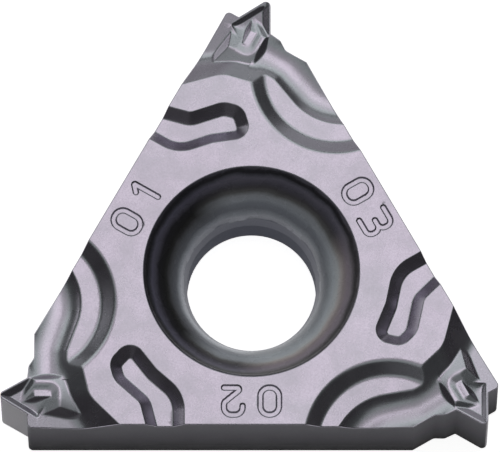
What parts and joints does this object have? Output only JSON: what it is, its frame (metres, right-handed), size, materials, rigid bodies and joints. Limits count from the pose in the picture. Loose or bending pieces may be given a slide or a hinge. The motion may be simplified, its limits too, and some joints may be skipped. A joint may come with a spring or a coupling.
{
  "type": "threading insert",
  "caption": "Triangular laydown threading insert with a pointed tooth and moulded chip breaker at each corner and a countersunk screw hole.",
  "frame": {"origin": "on the axis of the screw hole, in the flat underside", "axes": "+Z along the screw hole, out of the chip breaker face; +X along the front side of the triangle; +Y towards the corner opposite that side"},
  "size_m": [0.0151, 0.0133, 0.0035],
  "materials": {
    "coated_carbide": "satin physical vapour coating in grey lilac over pressed and ground carbide"
  },
  "bodies": {
    "root": {"insert_body": "coated_carbide"}
  },
  "joints": []
}
